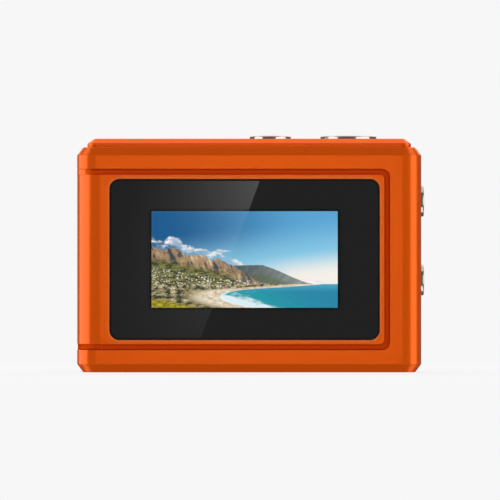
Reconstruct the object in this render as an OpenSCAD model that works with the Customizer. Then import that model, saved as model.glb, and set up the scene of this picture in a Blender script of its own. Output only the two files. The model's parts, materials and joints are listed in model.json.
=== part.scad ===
// Action camera: display at the back, fixed wide lens at the front, four push buttons,
// a hinged battery door underneath and a hinged port door on the left side.
// Millimetres. The origin is the middle of the base plane, X points right as seen from
// the display, Y points to the lens side and Z points up.

/* [Case] */
// Width of the case
body_w = 60; // [54:0.5:72]
// Depth of the case without the lens ring
body_d = 24; // [22:0.5:32]
// Height of the case without the top plate
body_h = 39.2; // [38:0.1:48]
// Radius of the four upright edges
edge_r = 3.45; // [2.5:0.05:6]
// Thickness of the case walls
wall = 2.4; // [2:0.1:3]
// How far the sloped rims run inwards
rim_in = 1.05; // [0.5:0.05:1.5]
// How far the sloped rims run upwards
rim_up = 1.4; // [0.5:0.05:2]
// Depth of the rear cover
cover_d = 7; // [6.5:0.1:8]

/* [Top plate] */
// Step from the case in to the top plate
plate_step = 1.8; // [1:0.1:3]
// Height of the top plate
plate_h = 1.5; // [1:0.1:3]
// Radius of the upright edges of the top plate
plate_r = 1.65; // [1.3:0.05:3]
// How far the top plate's sloped edge runs inwards
plate_slope_in = 1.2; // [0.4:0.1:1.2]
// How far the top plate's sloped edge runs upwards
plate_slope_up = 0.85; // [0.3:0.05:1.2]

/* [Display side] */
// Right end of the display panel
panel_right = 23.5; // [18:0.1:26]
// Lower edge of the display panel
panel_low = 4.9; // [4:0.1:8]
// Upper edge of the display panel
panel_high = 34.4; // [30:0.1:36]
// Depth of the pocket that the display panel lies in
panel_t = 1; // [0.8:0.1:1.2]
// Depth of the groove round the display panel
groove_d = 0.6; // [0.3:0.05:0.7]
// Radius of the display panel's wrapped edge
panel_edge_r = 4.2; // [3.5:0.1:5]
// Width of the groove round the display panel
groove_w = 1; // [0.5:0.1:2]
// Width of the cover glass
glass_w = 46.9; // [40:0.1:48]
// Height of the cover glass
glass_h = 27.9; // [22:0.1:28]
// Corner radius of the cover glass
glass_r = 1.7; // [0.5:0.1:3]
// Width of the lit picture
display_w = 32.4; // [28:0.1:34]
// Height of the lit picture
display_h = 16.8; // [14:0.1:18]
// Middle of the display, sideways
screen_x = -0.8; // [-3:0.1:3]
// Middle of the display, height
screen_z = 19.65; // [18:0.05:21]

/* [Buttons] */
// Power button, sideways
power_x = 3.7; // [2:0.1:6]
// Radius of the power button
power_r = 3.6; // [3:0.1:4]
// Shutter button, sideways
shutter_x = 17.4; // [14:0.1:18]
// Radius of the shutter button
shutter_r = 4.9; // [4:0.1:6]
// Upper side button, height
up_z = 29.85; // [26:0.05:31]
// Lower side button, height
down_z = 16.05; // [12:0.05:20]
// Radius of the side buttons
side_r = 2.7; // [2:0.1:3]
// Side buttons, front to back
side_y = -2; // [-2:0.1:-1]
// How far the buttons stand proud
proud = 0.62; // [0.4:0.02:1]
// Radius of the button stems
stem_r = 1; // [0.8:0.1:1.2]

/* [Lens] */
// Lens axis, sideways
lens_x = -14; // [-14:0.1:-13]
// Lens axis, height
lens_z = 22; // [20:0.1:24]
// Radius of the lens ring
ring_r = 11; // [10:0.1:12]
// How far the lens ring stands in front of the case
ring_out = 3.6; // [2:0.1:5]

/* [Battery and ports] */
// Battery, sideways from
battery_x0 = 2.3; // [2:0.1:4]
// Battery, sideways to
battery_x1 = 23.5; // [20:0.1:23.5]
// Thickness of the battery
battery_t = 8.2; // [6:0.1:8.2]
// Height of the battery
battery_h = 29.3; // [26:0.1:29.3]
// Tripod socket, sideways
tripod_x = -17; // [-18:0.1:-14]
// Radius of the tripod socket
tripod_r = 3.175; // [3.175:0.005:3.2]

/* [Hidden] */
$fn = 64;

far = 60;
half_w = body_w / 2;
back_y = -body_d / 2;
front_y = body_d / 2;
split_y = back_y + cover_d;
top_z = body_h + plate_h;

// Hollow of the case
in_x = half_w - wall;
in_z0 = wall;
in_z1 = body_h - wall;
in_y0 = back_y + wall;
in_y1 = front_y - 2;
in_r = 1.8;

// Front plate
front_t = 0.8;
front_x = 26;
front_z0 = 2.6;
front_z1 = 36.6;
front_r = 3;
rib_h = 0.25;

// Stack behind the cover glass
floor_y = back_y + panel_t;
glass_y = back_y + 0.05;
glass_t = 0.8;
mask_y = glass_y + glass_t;
lcd_w = 36.4;
lcd_h = 20.8;
lcd_y1 = -9.5;

// Main board
board_x0 = -21.8;
board_x1 = 18.6;
board_z0 = 3.2;
board_z1 = 36;
board_y0 = -7.6;
board_t = 0.8;
board_y1 = board_y0 + board_t;

// Fasteners: [x, z] of those that run front to back
case_screw_at = [[-24.4, 6.4], [-24.4, 32.8], [21, 6.4], [21, 32.8]];
board_screw_at = [[-19.8, 5], [-19.8, 34.2], [16.8, 5], [16.8, 34.2]];
ear_at = [[-5, 31], [-21.5, 10]];
// [x, y] of those that hold the top plate
plate_screw_at = [[-25, 6.5], [25, 6.5], [-1.5, 8]];
case_boss_r = 2.1;
case_screw_r = 0.8;
small_r = 0.7;
small_head_r = 1.3;
boss_end_y = -1;

// Seam gasket
gasket_d = 0.5;
seal_x = 28.9;
seal_w = 0.6;
seal_z0 = 1.5;
seal_z1 = 38.1;

// Lens
ring_y1 = front_y + ring_out;
seat_y = ring_y1 - 1.9;
window_r = 8.6;
sleeve_r = 8;
bore_r = 7;
barrel_r = 6.6;
barrel_back_r = 5;
holder_half = 7;
ear_y = 2.59;
sensor_y = -3.2;

// Button train
travel = 0.3;
plunger_r = 0.75;
switch_half = 1.5;
switch_floor = 0.1;
seal_r = 1.55;
top_switch_z = 34.82;
side_switch_x = 25.22;
top_stem_z = 36.1;
side_stem_x = 26.9;
plunger_lift = switch_floor + travel + 0.03;

// Battery door
door_x0 = 1;
door_z = 0.05;
door_in_z = 1.5;
recess_z = 1.6;
pin_x = 25.4;
pin_z = 0.85;
pin_r = 0.5;
knuckle_r = 0.8;
door_y0 = -3.9;
door_y1 = 10;
mouth_x0 = 1.9;
mouth_x1 = 23.9;
mouth_y0 = -3;
mouth_y1 = 9;
latch_y0 = 0.6;
latch_y1 = 5.4;

// Battery bay
bay_t = 0.8;
bay_y0 = 0.2;
battery_z0 = 3.4;
bay_z1 = 33.4;
bay_top = 34.35;

// Tripod insert
insert_r = 4.1;

// Port door
port_y0 = -0.8;
port_y1 = 6.6;
port_z0 = 7.15;
port_z1 = 28.85;
port_x = -half_w + 0.05;
port_in_x = -half_w + 1.2;
port_recess_x = -half_w + 1.3;
port_pin_x = -half_w + 0.85;

orange = [0.83, 0.33, 0.06];
black = [0.08, 0.08, 0.09];
steel = [0.8, 0.8, 0.82];
green = [0.05, 0.25, 0.14];
rubber = [0.12, 0.12, 0.12];
gold = [0.8, 0.62, 0.25];
clear = [0.75, 0.8, 0.85];

// ---------- helpers ----------

// Box between two corners
module span(a, b) {
    translate(a) cube(b - a);
}

// Flat outline in X and Z, made solid from y0 to y1
module slab_y(y0, y1) {
    translate([0, y1, 0]) rotate([90, 0, 0]) linear_extrude(y1 - y0) children();
}

// Turns a shape made along Z so that it runs along Y, at x and z
module along_y(x, z) {
    translate([x, 0, z]) rotate([-90, 0, 0]) children();
}

// Turns a shape made along Z so that it runs along X, at y and z
module along_x(y, z) {
    translate([0, y, z]) rotate([0, 90, 0]) children();
}

// Round bar or hole along Y
module bar_y(x, z, y0, y1, r) {
    along_y(x, z) translate([0, 0, y0]) cylinder(h = y1 - y0, r = r);
}

// Round bar or hole along Z
module bar_z(x, y, z0, z1, r) {
    translate([x, y, z0]) cylinder(h = z1 - z0, r = r);
}

// Flat ring, made along Z
module ring(z0, z1, r_in, r_out) {
    translate([0, 0, z0]) linear_extrude(z1 - z0) difference() {
        circle(r_out);
        circle(r_in);
    }
}

// Rectangle with round corners, between two corner points
module round_rect(x0, x1, y0, y1, r) {
    translate([x0 + r, y0]) square([x1 - x0 - 2 * r, y1 - y0]);
    translate([x0, y0 + r]) square([x1 - x0, y1 - y0 - 2 * r]);
    for (x = [x0 + r, x1 - r], y = [y0 + r, y1 - r]) translate([x, y]) circle(r);
}

// Edge profile of a block, from the base up
function rim(half, h, low_in, low_up, top_in, top_up) = concat(
    low_in > 0 ? [[half - low_in, 0], [half, low_up]] : [[half, 0]],
    [[half, h - top_up], [half - top_in, h]]);

// The same profile with its mirror image, as one closed outline
function both_sides(edge) = concat(edge,
    [for (i = [len(edge) - 1:-1:0]) [-edge[i][0], edge[i][1]]]);

// Block with round upright edges and sloped rims
module rim_block(w, d, h, r, low_in, low_up, top_in, top_up) {
    across = rim(w / 2, h, low_in, low_up, top_in, top_up);
    along = rim(d / 2, h, low_in, low_up, top_in, top_up);
    corner = rim(r, h, low_in, low_up, top_in, top_up);
    rotate([90, 0, 90]) linear_extrude(w - 2 * r, center = true) polygon(both_sides(along));
    rotate([90, 0, 0]) linear_extrude(d - 2 * r, center = true) polygon(both_sides(across));
    for (sx = [-1, 1], sy = [-1, 1])
        translate([sx * (w / 2 - r), sy * (d / 2 - r), 0])
            rotate_extrude() polygon(concat([[0, 0]], corner, [[0, h]]));
}

// ---------- case ----------

module case_part(y0, y1) {
    difference() {
        intersection() {
            rim_block(body_w, body_d, body_h, edge_r, rim_in, rim_up, rim_in, rim_up);
            span([-far, y0, -1], [far, y1, far]);
        }
        translate([0, 0, in_z0]) linear_extrude(in_z1 - in_z0)
            round_rect(-in_x, in_x, in_y0, in_y1, in_r);
    }
}

// Seen from above: all that lies behind a face wrapped round the left edge, at some depth
module inside_wrap(depth, right, edge = panel_edge_r) {
    translate([-half_w + edge, back_y + depth]) square([right + half_w - edge, far]);
    translate([-half_w + depth, back_y + edge]) square([right + half_w - depth, far]);
    translate([-half_w + edge, back_y + edge]) circle(edge - depth);
}

// One layer of the display panel, between two depths, seen from above
module panel_layer(depth, right) {
    difference() {
        intersection() {
            inside_wrap(depth, right);
            translate([-far, -far]) square([2 * far, far + split_y - 0.05]);
        }
        inside_wrap(panel_t, far);
    }
}

module screen_window(grow, y0, y1) {
    slab_y(y0, y1) round_rect(
        screen_x - glass_w / 2 - grow, screen_x + glass_w / 2 + grow,
        screen_z - glass_h / 2 - grow, screen_z + glass_h / 2 + grow, glass_r + grow);
}

module panel_recess() {
    intersection() {
        translate([0, 0, panel_low - groove_w])
            linear_extrude(panel_high - panel_low + 2 * groove_w)
                difference() {
                    translate([-half_w - 1, back_y - 1]) square([far + half_w, cover_d + 2]);
                    inside_wrap(panel_t, far);
                }
        slab_y(back_y - 2, split_y + 2)
            round_rect(-far, panel_right + groove_w, panel_low - groove_w,
                panel_high + groove_w, 1.4);
    }
}

module rear_cover() {
    color(orange) difference() {
        union() {
            case_part(-far, split_y);
            for (p = case_screw_at) bar_y(p[0], p[1], in_y0 - 0.2, split_y, case_boss_r);
            for (p = board_screw_at) bar_y(p[0], p[1], in_y0 - 0.2, board_y0, 1.6);
        }
        panel_recess();
        slab_y(floor_y - 0.5, in_y0 + 0.5)
            round_rect(screen_x - lcd_w / 2 - 0.2, screen_x + lcd_w / 2 + 0.2,
                screen_z - lcd_h / 2 - 0.2, screen_z + lcd_h / 2 + 0.2, 0.6);
        for (p = case_screw_at) {
            bar_y(p[0], p[1], floor_y - 0.5, split_y + 1, case_screw_r + 0.05);
            bar_y(p[0], p[1], floor_y - 0.5, floor_y + 0.95, 1.6);
        }
        for (p = board_screw_at) bar_y(p[0], p[1], board_y0 - 2.5, board_y0 + 1, small_r + 0.02);
    }
}

// The raised face of the panel stands on a thin flange that forms the floor of the groove.
// Above the panel the groove runs out into the upright edge of the case.
module screen_panel() {
    flange = groove_w - 0.05;
    color(orange) difference() {
        union() {
            intersection() {
                translate([0, 0, panel_low]) linear_extrude(panel_high - panel_low)
                    panel_layer(0, panel_right);
                slab_y(back_y - 2, split_y + 2)
                    round_rect(-far, panel_right, panel_low, panel_high, 0.8);
            }
            intersection() {
                translate([0, 0, panel_low - flange])
                    linear_extrude(panel_high - panel_low + 2 * flange)
                        panel_layer(groove_d, panel_right + flange);
                slab_y(back_y - 2, split_y + 2)
                    round_rect(-far, panel_right + flange, panel_low - flange,
                        panel_high + flange, 1.35);
            }
            translate([0, 0, panel_high]) linear_extrude(flange) difference() {
                intersection() {
                    inside_wrap(0, -20, edge_r);
                    translate([-far, back_y + groove_d]) square([far - 20, cover_d - groove_d - 0.05]);
                }
                inside_wrap(panel_t, far);
            }
        }
        screen_window(0.05, back_y - 1, floor_y + 1);
    }
}

// Boss for a case screw with its web to the floor or the roof
module case_boss(p) {
    bar_y(p[0], p[1], split_y, boss_end_y, case_boss_r);
    z0 = p[1] < body_h / 2 ? in_z0 - 0.2 : p[1];
    z1 = p[1] < body_h / 2 ? p[1] : in_z1 + 0.2;
    span([p[0] - 1.4, split_y, z0], [p[0] + 1.4, mouth_y0 - 0.2, z1]);
}

// Outline of the seam gasket, or of its groove when it grows
module seal_line(grow) {
    difference() {
        round_rect(-seal_x - grow, seal_x + grow, seal_z0 - grow, seal_z1 + grow, 1.45);
        round_rect(grow - seal_x + seal_w, seal_x - seal_w - grow,
            seal_z0 + seal_w + grow, seal_z1 - seal_w - grow, 0.9);
    }
}

module main_body() {
    color(orange) difference() {
        union() {
            case_part(split_y, far);
            for (p = case_screw_at) case_boss(p);
            for (p = ear_at) bar_y(p[0], p[1], 2.6, in_y1 + 0.2, 1.5);
            bar_z(tripod_x, 0, in_z0 - 0.2, 7.6, 5.6);
            bar_y(lens_x, lens_z, in_y1 - 0.4, in_y1 + 0.2, 10.4);
        }
        // seat and bores for the lens ring and the front plate
        slab_y(front_y - front_t, front_y + 1)
            round_rect(-front_x - 0.1, front_x + 0.1, front_z0 - 0.1, front_z1 + 0.1,
                front_r + 0.1);
        bar_y(lens_x, lens_z, in_y1 - 2, front_y + 1, sleeve_r + 0.05);
        bar_y(5, 34.6, in_y1 - 1, front_y + 1, 0.95);
        bar_y(14, 35.6, in_y1 - 1, front_y + 1, 0.4);
        // screws
        for (p = case_screw_at) bar_y(p[0], p[1], split_y - 1, boss_end_y - 0.6, case_screw_r + 0.02);
        for (p = ear_at) bar_y(p[0], p[1], 1, 6, small_r + 0.02);
        for (p = plate_screw_at) bar_z(p[0], p[1], in_z1 - 1, body_h + 1, small_r + 0.05);
        // buttons and their seals
        for (x = [power_x, shutter_x]) {
            bar_z(x, 0, in_z1 - 1, body_h + 1, stem_r + 0.03);
            bar_z(x, 0, 37.8, 38.4, seal_r + 0.05);
        }
        for (z = [up_z, down_z]) along_x(side_y, z) {
            translate([0, 0, in_x - 1]) cylinder(h = wall + 2, r = stem_r + 0.03);
            translate([0, 0, half_w - 2]) cylinder(h = 0.6, r = seal_r + 0.05);
            translate([0, 0, half_w - 1.1]) cylinder(h = 3, r = side_r + 0.07);
        }
        // sound
        for (i = [0:5]) bar_z(-20.5 + 1.6 * i, 3, in_z1 - 1, body_h + 1, 0.4);
        bar_z(-5, 0, in_z1 - 1, body_h + 1, 0.4);
        // seam gasket
        slab_y(split_y - 1, split_y + gasket_d) seal_line(0.05);
        // tripod socket
        bar_z(tripod_x, 0, 0.5, 7, insert_r + 0.05);
        bar_z(tripod_x, 0, -1, 1, tripod_r + 0.3);
        // battery door
        span([door_x0 - 0.1, door_y0 - 0.1, -1], [pin_x + knuckle_r + 0.15, door_y1 + 0.1, recess_z]);
        span([mouth_x0, mouth_y0, 0], [mouth_x1, mouth_y1, in_z0 + 1]);
        bar_y(pin_x, pin_z, door_y0 - 0.1, door_y1 + 0.1, knuckle_r + 0.15);
        bar_y(pin_x, pin_z, door_y0 - 1.2, 10.9, pin_r + 0.02);
        span([0.15, 1.35, 0.4], [door_x0, 4.65, 1]);
        // port door
        span([-far, port_y0 - 0.1, port_z0 - 0.15], [port_recess_x, port_y1 + 0.95, port_z1 + 0.15]);
        bar_z(port_pin_x, port_y1, port_z0 - 0.15, port_z1 + 0.15, knuckle_r + 0.15);
        bar_z(port_pin_x, port_y1, port_z0 - 1.2, port_z1 + 1.2, pin_r + 0.02);
        span([-half_w, 1.95, 9.45], [-in_x + 1, 4.85, 17.35]);
        span([-half_w, 1.95, 19.95], [-in_x + 1, 4.65, 26.45]);
    }
}

module top_plate() {
    color(orange) difference() {
        translate([0, 0, body_h])
            rim_block(body_w - 2 * plate_step, body_d - 2 * plate_step, plate_h, plate_r,
                0, 0, plate_slope_in, plate_slope_up);
        bar_z(power_x, 0, body_h - 1, far, power_r + 0.06);
        bar_z(shutter_x, 0, body_h - 1, far, shutter_r + 0.06);
        for (i = [0:5]) bar_z(-20.5 + 1.6 * i, 3, body_h - 1, far, 0.4);
        bar_z(-5, 0, body_h - 1, far, 0.4);
        for (p = plate_screw_at) bar_z(p[0], p[1], body_h - 1, body_h + 1.1, small_r + 0.02);
    }
}

module front_plate() {
    color(black) difference() {
        union() {
            slab_y(front_y - front_t + 0.01, front_y)
                round_rect(-front_x, front_x, front_z0, front_z1, front_r);
            for (i = [0:9])
                slab_y(front_y - 0.2, front_y + rib_h)
                    round_rect(3, 23, 5.5 + 2.7 * i, 6.7 + 2.7 * i, 0.59);
        }
        bar_y(lens_x, lens_z, 0, far, ring_r - 0.4);
        bar_y(5, 34.6, 0, far, 0.95);
        bar_y(14, 35.6, 0, far, 0.4);
    }
}

module body_gasket() {
    color(rubber) slab_y(split_y + 0.01, split_y + gasket_d - 0.01) seal_line(0);
}

// Pan-head screw made along Z, head down, with a cross recess
module screw(head_r, head_h, r, len) {
    difference() {
        union() {
            cylinder(h = head_h, r = head_r);
            cylinder(h = head_h + len, r = r);
        }
        span([-head_r * 0.6, -0.15, -1], [head_r * 0.6, 0.15, head_h * 0.5]);
        span([-0.15, -head_r * 0.6, -1], [0.15, head_r * 0.6, head_h * 0.5]);
    }
}

module case_screws() {
    color(steel) for (p = case_screw_at)
        along_y(p[0], p[1]) translate([0, 0, floor_y + 0.1]) screw(1.5, 0.84, case_screw_r, 7.6);
}

module small_screws() {
    color(steel) {
        for (p = board_screw_at)
            along_y(p[0], p[1]) translate([0, 0, board_y1 + 0.61]) mirror([0, 0, 1])
                screw(small_head_r, 0.6, small_r, 3.1);
        for (p = ear_at)
            along_y(p[0], p[1]) translate([0, 0, 0.39]) screw(small_head_r, 0.6, small_r, 3.1);
        for (p = plate_screw_at)
            translate([p[0], p[1], in_z1 - 0.61]) screw(small_head_r, 0.6, small_r, 3.1);
    }
}

// ---------- display ----------

module cover_glass() {
    color(clear) screen_window(0, glass_y, mask_y);
}

module display_outline(grow) {
    translate([screen_x, screen_z])
        square([display_w + 2 * grow, display_h + 2 * grow], center = true);
}

module glass_mask() {
    color(black) slab_y(mask_y, floor_y) difference() {
        round_rect(screen_x - glass_w / 2 + 0.2, screen_x + glass_w / 2 - 0.2,
            screen_z - glass_h / 2 + 0.2, screen_z + glass_h / 2 - 0.2, glass_r - 0.2);
        display_outline(0);
    }
}

module display_panel() {
    color([0.2, 0.45, 0.7]) slab_y(floor_y + 0.02, floor_y + 0.5) display_outline(0.3);
}

module backlight() {
    color([0.95, 0.95, 0.95]) slab_y(floor_y + 0.52, floor_y + 1.08) display_outline(0.3);
}

module lcd_frame() {
    color(steel) difference() {
        slab_y(floor_y + 0.02, lcd_y1)
            translate([screen_x, screen_z]) square([lcd_w, lcd_h], center = true);
        slab_y(floor_y - 1, floor_y + 1.1) display_outline(0.35);
    }
}

module lcd_flex() {
    color(gold) translate([screen_x - 4, 0, 0]) rotate([90, 0, 90]) linear_extrude(8)
        polygon([[lcd_y1 + 0.01, 12], [lcd_y1 + 0.16, 12], [lcd_y1 + 0.16, 10.16],
            [board_y0 - 0.01, 10.16], [board_y0 - 0.01, 8], [board_y0 - 0.16, 8],
            [board_y0 - 0.16, 10.01], [lcd_y1 + 0.01, 10.01]]);
}

// ---------- lens ----------

module lens_ring() {
    color(steel) along_y(lens_x, lens_z) rotate_extrude() polygon([
        [bore_r, 8.3], [sleeve_r, 8.3], [sleeve_r, 11.21], [ring_r - 0.5, 11.21],
        [ring_r - 0.5, front_y + 0.1], [ring_r, front_y + 0.1], [ring_r, ring_y1 - 0.8],
        [ring_r - 0.8, ring_y1],
        [window_r + 0.5, ring_y1], [window_r + 0.05, ring_y1 - 0.5],
        [window_r + 0.05, seat_y], [bore_r + 0.3, seat_y], [bore_r, seat_y - 0.3]]);
}

module ring_nut() {
    color(steel) along_y(lens_x, lens_z) difference() {
        ring(8.4, in_y1 - 0.42, sleeve_r + 0.02, 10.2);
        for (a = [0:90:270])
            rotate(a) translate([9.4, -0.8, 8]) cube([2, 1.6, 1]);
    }
}

module window_glass() {
    color(clear) bar_y(lens_x, lens_z, seat_y + 0.25, seat_y + 1.45, window_r);
}

module window_seal() {
    color(rubber) along_y(lens_x, lens_z) ring(seat_y + 0.01, seat_y + 0.24, bore_r + 0.5, window_r - 0.1);
}

module lens_barrel() {
    color(black) along_y(lens_x, lens_z) rotate_extrude() polygon([
        [3.4, -1.5], [barrel_back_r, -1.5], [barrel_back_r, 4], [barrel_r, 4],
        [barrel_r, 12.6], [6.2, 13], [6, 13], [5.6, 12.4], [5.6, 8.6], [4.2, 8.6],
        [4.2, 3.6], [3.4, 3.6]]);
}

module lens_element_1() {
    color(clear) along_y(lens_x, lens_z) intersection() {
        translate([0, 0, 8.65]) cylinder(h = 4.2, r = 5.55);
        difference() {
            translate([0, 0, 12.85 - 8]) sphere(8);
            translate([0, 0, 4.4]) sphere(5.9);
        }
    }
}

module lens_element_2() {
    color(clear) along_y(lens_x, lens_z) intersection() {
        translate([0, 0, 3.65]) cylinder(h = 3, r = 4.15);
        translate([0, 0, 6.6 - 7]) sphere(7);
        translate([0, 0, 3.7 + 7]) sphere(7);
    }
}

module lens_holder() {
    color(black) difference() {
        union() {
            span([lens_x - holder_half, sensor_y, lens_z - holder_half],
                [lens_x + holder_half, ear_y, lens_z + holder_half]);
            for (p = ear_at) slab_y(1, ear_y) {
                translate(p) circle(1.9);
                translate([p[0], p[1] + (p[1] > lens_z ? -3 : 0)]) square([1.9, 3]);
            }
            slab_y(1, ear_y) {
                translate([lens_x + holder_half - 1, 28]) square([4, 3]);
                translate([-22, lens_z - holder_half - 3]) square([3, 4]);
            }
        }
        bar_y(lens_x, lens_z, -1.8, far, barrel_back_r + 0.03);
        bar_y(lens_x, lens_z, -2.4, 0, 4);
        span([lens_x - 4.6, sensor_y - 1, lens_z - 4], [lens_x + 4.6, -2.1, lens_z + 4]);
        for (p = ear_at) bar_y(p[0], p[1], -5, far, small_r + 0.05);
    }
}

module image_sensor() {
    color([0.15, 0.2, 0.3]) span([lens_x - 4, sensor_y + 0.01, lens_z - 3.2],
        [lens_x + 4, sensor_y + 0.9, lens_z + 3.2]);
}

module sensor_board() {
    color(green) span([lens_x - 7.5, sensor_y - 0.8, lens_z - 7.5],
        [lens_x + 7.5, sensor_y - 0.01, lens_z + 7.5]);
}

module lens_flex() {
    color(gold) translate([0, 0, lens_z - 3]) linear_extrude(6) polygon([
        [-9.5, -4.16], [-4.3, -4.16], [-4.3, -6.64], [-6.5, -6.64], [-6.5, -6.79],
        [-4.15, -6.79], [-4.15, -4.01], [-9.5, -4.01]]);
}

// ---------- electronics ----------

module main_board() {
    color(green) difference() {
        span([board_x0, board_y0 + 0.01, board_z0], [board_x1, board_y1, board_z1]);
        for (p = board_screw_at) bar_y(p[0], p[1], -far / 2, 0, small_r + 0.1);
    }
}

module processor() {
    color(black) span([0, board_y1 + 0.01, 14], [12, board_y1 + 1.5, 26]);
}

module heat_spreader() {
    color(steel) {
        span([-2.5, board_y1 + 1.52, 9], [17, board_y1 + 2.3, 32]);
        for (x = [-2.5, 15.5], z = [9, 30.5])
            span([x, board_y1 + 0.01, z], [x + 1.5, board_y1 + 1.6, z + 1.5]);
    }
}

module speaker() {
    color(black) difference() {
        span([-22, 0, 33.6], [-11, 6.6, in_z1 - 0.02]);
        span([-21.2, 0.8, 35.6], [-11.8, 5.8, in_z1 + 1]);
    }
}

module microphones() {
    color(steel) {
        difference() {
            span([12.2, in_y1 - 1.1, 34.6], [15.8, in_y1 - 0.02, in_z1 - 0.1]);
            bar_y(14, 35.6, in_y1 - 0.6, far, 0.3);
        }
        difference() {
            span([-6.8, -1.3, 35.7], [-3.2, 1.3, in_z1 - 0.02]);
            bar_z(-5, 0, 36.3, far, 0.3);
        }
    }
}

module led_pipe() {
    color(clear) bar_y(5, 34.6, in_y1 - 0.1, front_y + 0.15, 0.9);
}

// ---------- buttons ----------

// Button made along Z: nearly flat cap with a chamfered edge up to z = 0, stem down to stem_end,
// snap lip under the wall
module button(r, cap_low, lip_z, stem_end) {
    rise = 0.06;
    edge = 0.2;
    dome_r = (r * r + rise * rise) / (2 * rise);
    difference() {
        union() {
            intersection() {
                union() {
                    translate([0, 0, cap_low]) cylinder(h = -cap_low - edge, r = r);
                    translate([0, 0, -edge]) cylinder(h = edge, r1 = r, r2 = r - edge);
                }
                translate([0, 0, -dome_r]) sphere(dome_r, $fn = 240);
            }
            translate([0, 0, stem_end]) cylinder(h = cap_low - stem_end + 0.2, r = stem_r);
            translate([0, 0, lip_z - 0.3]) cylinder(h = 0.3, r = stem_r + 0.3);
        }
        span([-0.2, -3, stem_end - 1], [0.2, 3, lip_z + 0.5]);
    }
}

module top_button(x, r) {
    top = top_z + proud;
    translate([x, 0, top]) button(r, -1.5, in_z1 - 0.03 - top, top_stem_z - top);
}

module side_button(z) {
    tip = half_w + proud;
    along_x(side_y, z) translate([0, 0, tip])
        button(side_r, -1.2, in_x - 0.03 - tip, side_stem_x - tip);
}

module power_button() {
    color(steel) top_button(power_x, power_r);
}

module shutter_button() {
    color(steel) top_button(shutter_x, shutter_r);
}

module up_button() {
    color(steel) side_button(up_z);
}

module down_button() {
    color(steel) side_button(down_z);
}

module top_plunger(x) {
    color(black) bar_z(x, 0, top_switch_z + plunger_lift, top_stem_z - 0.01, plunger_r);
}

module side_plunger(z) {
    start = side_switch_x + plunger_lift;
    color(black) along_x(side_y, z) translate([0, 0, start])
        cylinder(h = side_stem_x - 0.01 - start, r = plunger_r);
}

module power_plunger() {
    top_plunger(power_x);
}

module shutter_plunger() {
    top_plunger(shutter_x);
}

module up_plunger() {
    side_plunger(up_z);
}

module down_plunger() {
    side_plunger(down_z);
}

module button_seals() {
    color(rubber) {
        for (x = [power_x, shutter_x]) translate([x, 0, 0]) ring(37.82, 38.38, stem_r + 0.02, seal_r);
        for (z = [up_z, down_z])
            along_x(side_y, z) ring(half_w - 1.98, half_w - 1.42, stem_r + 0.02, seal_r);
    }
}

// Switch housing made along Z with the bore for its plunger
module tact_switch(z0, z1) {
    difference() {
        span([-switch_half, -switch_half, z0], [switch_half, switch_half, z1]);
        translate([0, 0, z0 + switch_floor]) cylinder(h = 3, r = plunger_r + 0.06);
    }
}

module tact_switches() {
    color(steel) {
        for (x = [power_x, shutter_x]) translate([x, 0, 0]) 
            tact_switch(top_switch_z, top_switch_z + 0.9);
        for (z = [up_z, down_z]) along_x(side_y, z)
            tact_switch(side_switch_x, side_switch_x + 1.08);
    }
}

module top_switch_board() {
    color(green) span([-1, -2.4, bay_top + 0.02],
        [19.2, 2.4, top_switch_z - 0.01]);
}

module side_switch_board() {
    color(green) span([side_switch_x - 0.46, -4.4, 12], [side_switch_x - 0.01, 1, 34]);
}

// ---------- battery, card and battery door ----------

module battery() {
    color([0.2, 0.2, 0.22]) translate([0, 0, battery_z0]) linear_extrude(battery_h)
        round_rect(battery_x0, battery_x1, bay_y0 + 0.3, bay_y0 + 0.3 + battery_t, 1.2);
}

module battery_bay() {
    color(black) difference() {
        union() {
            span([mouth_x0 - bay_t, bay_y0 - bay_t, in_z0 + 0.01],
                [mouth_x1 + bay_t, mouth_y1 + bay_t, bay_top]);
            span([3, bay_y0 - bay_t - 0.7, 3], [15.4, bay_y0, 17]);
        }
        span([mouth_x0, bay_y0, 0], [mouth_x1, mouth_y1, bay_z1]);
    }
}

module battery_contacts() {
    color(gold) for (i = [0:2])
        span([9 + 2.6 * i, 4, battery_z0 + battery_h + 0.05], [10.6 + 2.6 * i, 6.4, bay_z1 - 0.01]);
}

module card_slot() {
    color(steel) difference() {
        span([3, -3.3, 3], [15.4, bay_y0 - bay_t - 0.71, 17.8]);
        span([3.65, -2.95, 0], [14.75, -1.75, 17.3]);
    }
}

module memory_card() {
    color(black) span([3.7, -2.85, 2.15], [14.7, -1.85, 17.15]);
}

module battery_door() {
    color(orange) difference() {
        union() {
            span([door_x0, door_y0, door_z], [pin_x, door_y1, door_in_z]);
            bar_y(pin_x, pin_z, door_y0, door_y1, knuckle_r);
            span([2.7, -2.4, door_in_z - 0.1], [22.8, 8.4, 1.9]);
        }
        bar_y(pin_x, pin_z, -far / 2, far / 2, pin_r + 0.03);
        span([2.4, latch_y0 - 0.1, -1], [9.6, latch_y1 + 0.1, 0.95]);
        span([2.4, latch_y0 - 0.5, 0.5], [9.6, latch_y1 + 0.5, 0.95]);
        span([0, 1.4, 0.4], [3, 4.6, 0.95]);
    }
}

module battery_door_pin() {
    color(steel) bar_y(pin_x, pin_z, door_y0 - 1, 10.8, pin_r);
}

module battery_door_seal() {
    color(rubber) difference() {
        span([2.05, -2.85, door_in_z + 0.01], [23.4, 8.85, 2]);
        span([2.68, -2.42, 0], [22.82, 8.42, 3]);
    }
}

module battery_latch() {
    color(black) {
        span([4, latch_y0, 0.15], [9.4, latch_y1, 0.9]);
        span([4, latch_y0 - 0.4, 0.55], [9.4, latch_y1 + 0.4, 0.9]);
        for (i = [0:3]) span([4.8 + 1.1 * i, latch_y0 + 0.6, 0.06], [5.3 + 1.1 * i, latch_y1 - 0.6, 0.3]);
        span([1.6, 1.5, 0.45], [4.1, 4.5, 0.9]);
    }
}

// ---------- ports ----------

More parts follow.
